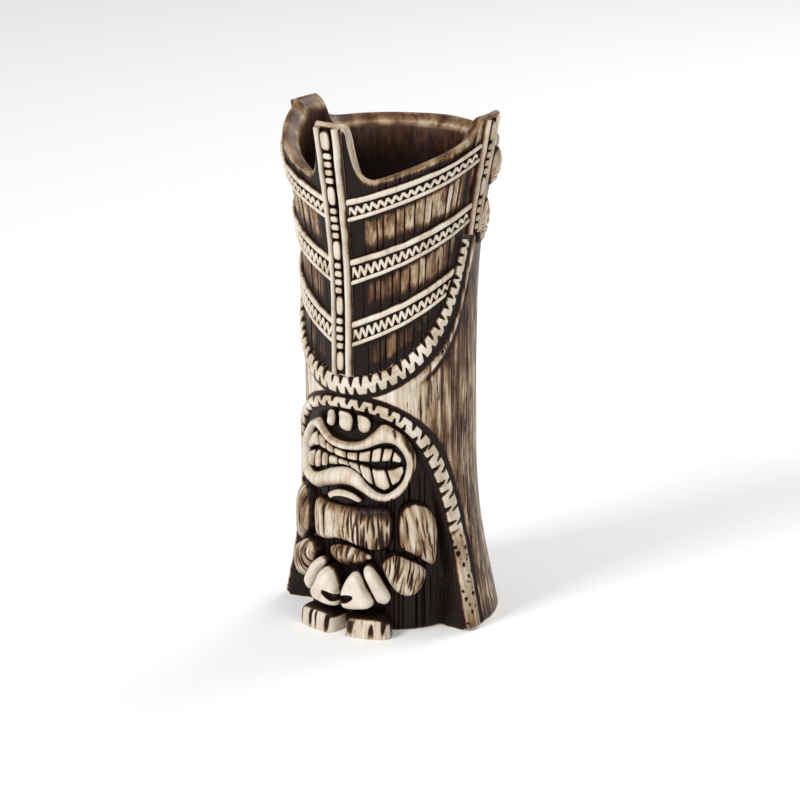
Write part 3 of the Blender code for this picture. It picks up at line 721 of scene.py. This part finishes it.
def through(points, count):
    """A smooth closed curve through points, with count points on it."""
    knots = np.array(points, float)
    share = np.arange(count) / count * len(knots)
    step = share.astype(int)
    t = (share - step)[:, None]
    a, b, c, d = (knots[(step + k) % len(knots)] for k in (-1, 0, 1, 2))
    return 0.5 * (2 * b + (c - a) * t + (2 * a - 5 * b + 4 * c - d) * t**2 + (3 * b - a - 3 * c + d) * t**3)


def slits(across, along, seed, pitch, reach, width=0.28):
    """Chisel slits along the grain: 1 in the middle of a slit, 0 on the wood between."""
    rng = np.random.default_rng(seed)
    cut = np.zeros(len(across))
    for middle in np.arange(across.min(), across.max(), pitch):
        place = middle + rng.uniform(-0.5, 0.5) * pitch
        centre = rng.uniform(along.min(), along.max())
        half = rng.uniform(*reach)
        wander = 0.3 * np.sin(along * rng.uniform(0.2, 0.5) + rng.uniform(0, 6))
        taper = np.clip(1 - ((along - centre) / half) ** 2, 0, 1)
        line = np.exp(-(((across - place - wander) / (width * (0.4 + taper))) ** 2))
        cut = np.maximum(cut, taper**0.5 * line)
    return cut


AROUND = 312
bpy.ops.object.select_all(action="DESELECT")
bpy.ops.mesh.primitive_torus_add(major_segments=AROUND, minor_segments=56, major_radius=1, minor_radius=0.25)
head = bpy.context.object
head.name = "carved_head"
ring = coordinates(head)
index = np.rint(np.arctan2(ring[:, 1], ring[:, 0]) / math.tau * AROUND).astype(int) % AROUND
turn = np.arctan2(ring[:, 2], np.hypot(ring[:, 0], ring[:, 1]) - 1)
inward = (1 - np.cos(turn)) / 2
place = through(HEAD, AROUND)[index] * (1 - inward)[:, None]
place = place + through(MOUTH, AROUND)[index] * inward[:, None]
angle, level = place[:, 0], place[:, 1]
lip = np.clip(1 - np.abs(2 * inward - 1) ** 2.6, 0, 1) ** 0.55
proud = 4.6 + 0.5 * ease(30, 40, np.abs(angle))
cuts = slits(angle * MM_PER_DEGREE, level, 61, 1.1, (1.5, 5))
cuts = cuts * ease(0.62, 0.3, inward) * ease(14, 32, np.abs(angle))
height = np.where(turn >= -1e-6, proud * lip - 0.35 * cuts + 0.12 * wobble(angle, level, 14, 62), SUNK)
wrap(head, angle, skin(angle, level) + height, level)
cheek = ease(0.6, 0.36, inward) * ease(36, 43, np.abs(angle)) * ease(55, 60, level)
smudges = 0.42 + 0.4 * wobble(angle * MM_PER_DEGREE, level * 0.1, 1.6, 63)
wash = np.maximum.reduce([ease(0.6, 0.22, lip), cuts * 0.8, cheek * smudges])
stain = 0.15 + 0.2 * ease(0.5, 0.1, inward) + 0.15 * cheek
brush(head, wash=wash, stain=stain, bark=0.35, grain=straight_grain(angle, level))
seat(head, ["head"], cream_glaze)


ROW_LENGTH = 46


def make_teeth(name, low, high, gaps, seed):
    """A row of teeth from the left corner of the mouth to the right; gaps are shares along the row."""
    rows = 420
    (low, _), (high, _) = curve_edge(low, rows + 1), curve_edge(high, rows + 1)
    piece, along, across, on_top = strip("set_" + name, rows, 20)
    index = np.rint(along * rows).astype(int)
    place = low[index] * (1 - across)[:, None] + high[index] * across[:, None]
    angle, level = place[:, 0], place[:, 1]
    edges = np.array([0, *gaps, 1])
    from_gap = np.min(np.abs(along[:, None] - edges[None]), axis=1) * ROW_LENGTH
    gap = 0.56 + 0.45 * ease(0.42, 0.2, along)
    tooth = np.clip(1 - np.exp(-((from_gap / gap) ** 2)), 0, 1)
    rounded = np.clip(1 - np.abs(2 * across - 1) ** 4, 0, 1) ** 0.5
    body = tooth**0.6 * rounded
    height = 0.6 + 3.2 * body
    wrap(piece, angle, skin(angle, level) + np.where(on_top, height, SUNK), level)
    stain = 0.2 + 0.1 * wobble(along * ROW_LENGTH, across * 5, 7, seed)
    wash = ease(0.74, 0.32, body)
    brush(piece, wash=wash, stain=stain, bark=0.15, grain=straight_grain(angle, level))
    seat(piece, [name], cream_glaze)


UPPER_LOW = [(-37.2, 67.6), (-31, 69.8), (-22, 70.6), (-10, 69.6), (0, 68.8), (10, 68.2), (20, 68.3)]
UPPER_LOW += [(30, 68.9), (38, 68.4)]
UPPER_HIGH = [(-36.6, 70), (-32, 74.6), (-27, 76.8), (-20, 75), (-13, 72.6), (0, 71.2), (12, 72.1)]
UPPER_HIGH += [(24, 74.3), (32, 74), (38.4, 69.8)]
UPPER_GAPS = (0.195, 0.3, 0.394, 0.516, 0.62, 0.73, 0.82, 0.905)
LOWER_LOW = [(-38, 65), (-35.5, 60.8), (-30, 60.7), (-22, 62.4), (-12, 64.9), (0, 66.4), (8.5, 64.8)]
LOWER_LOW += [(17, 59.7), (27, 57), (36.4, 60.8), (39.6, 65.4)]
LOWER_HIGH = [(-37.6, 66.6), (-30, 68.7), (-22, 69.6), (-10, 68.6), (0, 67.9), (12, 67), (22, 65.6)]
LOWER_HIGH += [(31, 65.8), (39.2, 67)]
LOWER_GAPS = (0.13, 0.22, 0.31, 0.41, 0.51, 0.61, 0.72, 0.85)
make_teeth("upper_teeth", UPPER_LOW, UPPER_HIGH, UPPER_GAPS, 71)
make_teeth("lower_teeth", LOWER_LOW, LOWER_HIGH, LOWER_GAPS, 72)


def sprig(name, outline, proud, fullness, segments=120, rings=64):
    """A pressed lump of clay, with each point's angle, level, share of the way to its edge, and height."""
    bpy.ops.object.select_all(action="DESELECT")
    bpy.ops.mesh.primitive_uv_sphere_add(segments=segments, ring_count=rings)
    piece = bpy.context.object
    piece.name = name
    ball = coordinates(piece)
    index = np.rint(np.arctan2(ball[:, 1], ball[:, 0]) / math.tau * segments).astype(int) % segments
    down = np.arccos(np.clip(ball[:, 2], -1, 1)) / (math.pi / 2)
    out = np.where(down < 1, 1 - (1 - np.clip(down, 0, 1)) ** 1.35, np.clip(2 - down, 0, 1))
    edge = through(outline, segments)
    middle = (edge.max(axis=0) + edge.min(axis=0)) / 2
    place = middle + out[:, None] * (edge[index] - middle)
    height = np.where(down <= 1.0001, proud * np.clip(1 - out**fullness, 0, 1) ** 0.5, SUNK)
    return piece, place[:, 0], place[:, 1], out, height


def leaning_grain(angle, level, lean):
    """Millimetres across and along a grain that leans by some degrees."""
    slant = math.radians(lean)
    flat_x = angle * MM_PER_DEGREE
    across = flat_x * math.cos(slant) + level * math.sin(slant)
    along = level * math.cos(slant) - flat_x * math.sin(slant)
    return across, along


def press(piece, node, material, angle, level, height, wash, stain, bark, lean=0.0):
    """Wraps a sprig on to the cup and brushes it; lean turns its grain, in degrees."""
    wrap(piece, angle, skin(angle, level) + height, level)
    across, along = leaning_grain(angle, level, lean)
    brush(piece, wash=wash, stain=stain, bark=bark, grain=np.stack([across, 0 * angle, along], axis=1))
    seat(piece, [node], material)


def mirrored(points):
    """The same outline on the left of the figure, still running anticlockwise."""
    return [(-angle, level) for angle, level in reversed(points)]


MIDDLE_NOSTRIL = [(5.4, 83.4), (5, 87.2), (1, 88), (-3.4, 87.8), (-5.6, 83.8), (-5.2, 80.6), (-1, 79.2)]
MIDDLE_NOSTRIL += [(3.8, 79.6)]
RIGHT_NOSTRIL = [(18.2, 83), (16.8, 86), (12.6, 87.2), (9.4, 87), (8.4, 83.2), (9.4, 80.2), (12.6, 79.2)]
RIGHT_NOSTRIL += [(16.2, 80)]
LEFT_NOSTRIL = [(-8.6, 83.6), (-7, 87.2), (-9.4, 87.8), (-12.2, 86.6), (-15.2, 83), (-16, 80.8)]
LEFT_NOSTRIL += [(-13.2, 79.8), (-10.2, 80.4)]
for node, outline in (
    ("middle_nostril", MIDDLE_NOSTRIL),
    ("right_nostril", RIGHT_NOSTRIL),
    ("left_nostril", LEFT_NOSTRIL),
):
    piece, angle, level, out, height = sprig("pressed_" + node, outline, 3.6, 4.5, 64, 40)
    wash, stain = ease(0.84, 0.99, out), 0.12 + 0.1 * out
    press(piece, node, cream_glaze, angle, level, height, wash, stain, 0.25)

CHIN = [(12.5, 52.8), (7, 55.2), (-2, 56.3), (-10, 55.4), (-16.5, 52.8), (-10, 50.6), (-2, 50), (7, 50.6)]
piece, angle, level, out, height = sprig("pressed_chin", CHIN, 5.0, 3, 120, 64)
slit = np.clip(1 - ((angle + 1) / 11.5) ** 2 - ((level - 52.2 + 0.009 * angle**2) / 2) ** 2, 0, 1) ** 0.5
wash = np.maximum(ease(0.84, 0.99, out), ease(0.1, 0.6, slit))
press(piece, "chin", cream_glaze, angle, level, height - 1.6 * slit, wash, 0.16, 0.2)

# --- The squatting figure -------------------------------
# Chest, belly, arms and thighs are carved like weathered wood, with slits down the grain; the shins, hands
# and feet are wiped back to clean cream. All are pressed deep, with wash pooled between them.

# Satin glaze over wash left in the wood's slits: tan, with dark lines down the grain.
tan_glaze = glaze("satin_tan_glaze", GLAZE_TONES)

CHEST = [(33.4, 41), (32.4, 47.4), (27.5, 50.4), (14, 50.2), (0, 50), (-14, 50.2), (-27.5, 50.4)]
CHEST += [(-32.4, 47.4), (-33.4, 41), (-30.5, 34.6), (-20, 34), (-9, 35.6), (0, 35.4), (10, 34), (20, 32.8)]
CHEST += [(30, 34.2)]
BELLY = [(19.5, 30.4), (12, 32.6), (5, 33.9), (-2, 34.2), (-9, 33.8), (-15.6, 31.4), (-13, 28.2)]
BELLY += [(-7, 26.2), (0, 25.6), (7, 26.4), (13, 28)]
ARM = [(63, 38), (61.4, 45), (56, 50.4), (47, 52.6), (39.6, 51.4), (35.8, 47), (35.4, 39.5), (36.8, 34.6)]
ARM += [(44, 31.7), (52, 28.6), (58.6, 25.8), (61.9, 28)]
THIGH = [(54.5, 24.6), (51, 27.6), (44, 30), (36, 32.4), (30, 32.2), (25.5, 29.6), (24.9, 27), (28.1, 22.4)]
THIGH += [(32, 18.4), (36.5, 16), (42, 15), (47.5, 16), (52.2, 19.4)]
SHIN = [(31.4, 14.6), (30.4, 17.4), (27, 21), (23.4, 24.8), (19.6, 27.8), (15.6, 28.4), (13.2, 26.4)]
SHIN += [(14.9, 23.2), (17.9, 19.2), (21, 15.2), (23.6, 12.6), (28.4, 12.2)]
HAND = [(21.2, 13.6), (19.2, 16.4), (16.3, 19.6), (13.7, 23.3), (10.8, 25.6), (7, 25), (3.6, 22), (1, 17.6)]
HAND += [(0.4, 13.8), (1.6, 10.8), (5, 10), (12, 10.3), (18.6, 11.2)]
FOOT = [(31.8, 1), (31.2, 5.8), (28.4, 8), (18, 8.6), (7, 8.4), (4, 7), (3.2, 3), (3.4, -6), (18, -9)]
FOOT += [(30.8, -6)]

piece, angle, level, out, height = sprig("carved_chest", CHEST, 4.4, 5, 240, 160)
cuts = slits(angle * MM_PER_DEGREE, level, 81, 0.75, (2.5, 9), 0.3) * (0.3 + 0.7 * ease(-6, 6, angle))
deep = np.exp(-(((angle + 17) / 0.9) ** 2)) * ease(7, 4, np.abs(level - 43.5))
height = height - (0.4 * cuts + 0.9 * deep) * ease(1, 0.85, out)
# Painted shade under the head and chin: the top of the chest darkens.
shade_under_head = 0.6 * ease(43.5, 52, level + 0.06 * angle)
wash = np.maximum.reduce([ease(0.87, 0.99, out), cuts * 0.9, deep, shade_under_head])
stain = 0.2 + 0.16 * ease(-8, 22, angle) + 0.1 * wobble(angle, level, 20, 83)
press(piece, "chest", tan_glaze, angle, level, height, wash, stain, 0.6)

piece, angle, level, out, height = sprig("carved_belly", BELLY, 4.8, 2.6, 140, 60)
cuts = slits(angle * MM_PER_DEGREE, level, 84, 0.9, (1.5, 4))
wash = np.maximum.reduce([ease(0.86, 0.99, out), cuts * 0.5, 0.35 * ease(30.5, 27, level)])
press(piece, "belly", tan_glaze, angle, level, height - 0.3 * cuts, wash, 0.35, 0.8)

# Each limb's outline, how proud it stands, how full its top is, its finish, how far its grain leans and how
# barky it is.
LIMBS = {
    "arm": (ARM, 6.4, 4.0, "tan", 8, 0.5),
    "thigh": (THIGH, 8.2, 4.0, "tan", -10, 0.5),
    "shin": (SHIN, 9.2, 3.6, "cream", 30, 0.2),
    "hand": (HAND, 10.4, 9.0, "cream", 20, 0.12),
    "foot": (FOOT, 10.0, 9.0, "cream", 0, 0.4),
}
FINISHES = {"tan": ("tan_wash_glaze", tan_glaze), "cream": ("cream_glaze", cream_glaze)}


def make_limb(limb, side, sign):
    """Models one limb; sign is -1 on the left, where outline and grain are mirrored."""
    outline, proud, fullness, finish, lean, bark = LIMBS[limb]
    shape = outline if sign > 0 else mirrored(outline)
    piece, angle, level, out, height = sprig(f"carved_{side}_{limb}", shape, proud, fullness, 180, 84)
    seed = 90 + len(limb) * 3 + sign
    across, along = leaning_grain(angle, level, lean * sign)
    edge = ease(0.87 + 0.012 * (fullness - 4), 0.995, out)
    if finish == "tan":
        patchy = 0.45 + 0.55 * ease(-0.4, 0.3, wobble(across, along * 0.5, 7, seed + 3))
        cuts = slits(across, along, seed, 0.72, (2.5, 8), 0.22) * ease(1, 0.85, out) * patchy
        height = height - 0.4 * cuts
        wash = np.maximum(edge, cuts * 0.85)
        stain = (0.32 if limb == "arm" else 0.28) + 0.1 * wobble(angle, level, 16, seed + 1)
    if limb in ("shin", "hand"):
        stain = 0.09 + 0.06 * wobble(angle, level, 12, seed + 1)
        wash = edge * (0.9 + 0.1 * out)
    if limb == "hand":
        # A leaf-shaped hollow is pressed into each hand where the two meet, and climbs as it runs outwards.
        leaf_x, leaf_z = np.abs(angle) * 0.7 - 3.2, level - 15
        turned = leaf_x * 0.94 + leaf_z * 0.34, leaf_z * 0.94 - leaf_x * 0.34
        hole = np.clip(1 - (np.abs(turned[0]) / 4) ** 1.7 - (turned[1] / 1.65) ** 2, 0, 1) ** 0.5
        height = height - 3.0 * hole
        wash = np.maximum(edge, ease(0, 0.3, hole))
    if limb == "foot":
        # Wash runs down the foot's front in drips, and its underside is flat on the table.
        drips = ease(0.0, 0.5, wobble(angle * MM_PER_DEGREE, level * 0.08, 3, seed + 2))
        drips = drips * ease(-1.5, 4.5, level) * ease(8, 6, level)
        height = height - 0.25 * drips
        wash = np.maximum(ease(0.8, 0.93, out) * ease(5, 6.5, level), drips * 0.66)
        stain = 0.18 + 0.3 * drips
        level = np.maximum(level, 0)
    slot, material = FINISHES[finish]
    press(piece, f"{side}_{limb}", material, angle, level, height, wash, stain, bark, lean * sign)


for limb_name in LIMBS:
    for side_name, sign in (("right", 1), ("left", -1)):
        make_limb(limb_name, side_name, sign)

# --- Curled leaves --------------------------------------
# Two tufts of leaf are pressed on behind each side crest, one above the other, each fluted like a shell.

UPPER_LEAF = [(109.5, 178.5), (106, 183.8), (100.5, 186.4), (96.1, 182.6), (95.4, 177), (98.5, 172)]
UPPER_LEAF += [(103.5, 170.5), (108.5, 173.5)]
LOWER_LEAF = [(109, 159), (105.5, 164.5), (100.5, 166.5), (96.1, 162), (95.4, 155), (98.5, 149.5)]
LOWER_LEAF += [(103, 148), (107.5, 152)]
FAN_CORNER = 93.5


def make_leaf(row, side, outline, proud):
    """Models one leaf; its flutes fan out from a corner behind the crest."""
    corner = FAN_CORNER
    shape = outline
    if side == "left":
        corner = FAN_CORNER + LEFT_TURN
        shape = [(angle - LEFT_TURN, level) for angle, level in mirrored(outline)]
    piece, angle, level, out, height = sprig(f"pressed_{side}_{row}_leaf", shape, proud, 2.6, 140, 60)
    fan = np.arctan2(level - outline[0][1] + 4, (np.abs(angle) - corner) * 0.65)
    flutes = np.abs(np.sin(fan * 7)) ** 0.5
    height = height * (0.75 + 0.25 * flutes)
    wash = np.maximum(ease(0.82, 0.98, out), ease(0.5, 0.15, flutes) * 0.85)
    node = f"{side}_{row}_leaf"
    press(piece, node, tan_glaze, angle, level, height, wash, 0.3, 0.5)


for row_name, outline, proud in (("upper", UPPER_LEAF, 4.0), ("lower", LOWER_LEAF, 3.2)):
    for side_name in ("right", "left"):
        make_leaf(row_name, side_name, outline, proud)

# --- The studio -----------------------------------------
# A pale floor, soft light from large panels, and a camera above the rim, off the mug's right corner.

bpy.ops.object.select_all(action="DESELECT")
bpy.ops.mesh.primitive_plane_add(size=6, location=(0, 0, 0))
floor = bpy.context.object
floor.name = "pale_floor"
paper = bpy.data.materials.new("matt_white_paper")
paper.use_nodes = True
paper_inputs = paper.node_tree.nodes["Principled BSDF"].inputs
paper_inputs["Base Color"].default_value = colour("#F4F4F4")
paper_inputs["Roughness"].default_value = 0.9
paper_inputs["Emission Color"].default_value = (1, 1, 1, 1)
paper_inputs["Emission Strength"].default_value = 0.12
floor.data.materials.append(paper)

world = bpy.data.worlds.new("studio")
bpy.context.scene.world = world
world.use_nodes = True
sky_inputs = world.node_tree.nodes["Background"].inputs
sky_inputs["Color"].default_value = (1, 1, 1, 1)
sky_inputs["Strength"].default_value = 0.4
bpy.context.scene.view_settings.view_transform = "Standard"


def panel(name, place, size, power):
    """A square soft light aimed at the middle of the mug."""
    light = bpy.data.lights.new(name, "AREA")
    light.size = size
    light.energy = power
    holder = bpy.data.objects.new(name, light)
    holder.location = place
    aim = -holder.location
    aim.z += 0.1
    holder.rotation_euler = aim.to_track_quat("-Z", "Y").to_euler()
    bpy.context.scene.collection.objects.link(holder)


panel("key_light", (-0.45, -1.3, 1.15), 0.5, 19)
panel("fill_light", (1.3, -0.6, 0.7), 0.7, 5)
panel("back_light", (0.2, 1.1, 1.1), 0.8, 10)

AZIMUTH, ELEVATION, RANGE = math.radians(31), math.radians(17), 1.45
lens = bpy.data.cameras.new("camera")
lens.lens = 170.3
lens.sensor_width = 36
# The middle of the view: metres up, and metres to the right of the mug's axis.
AIM_LEVEL = 0.083
AIM_RIGHT = 0.0034
camera = bpy.data.objects.new("camera", lens)
along_floor = math.cos(ELEVATION)
back = Vector((math.sin(AZIMUTH) * along_floor, -math.cos(AZIMUTH) * along_floor, math.sin(ELEVATION)))
right = Vector((math.cos(AZIMUTH), math.sin(AZIMUTH), 0))
camera.location = Vector((0, 0, AIM_LEVEL)) + right * AIM_RIGHT + back * RANGE
camera.rotation_euler = back.to_track_quat("Z", "Y").to_euler()
bpy.context.scene.collection.objects.link(camera)
bpy.context.scene.camera = camera
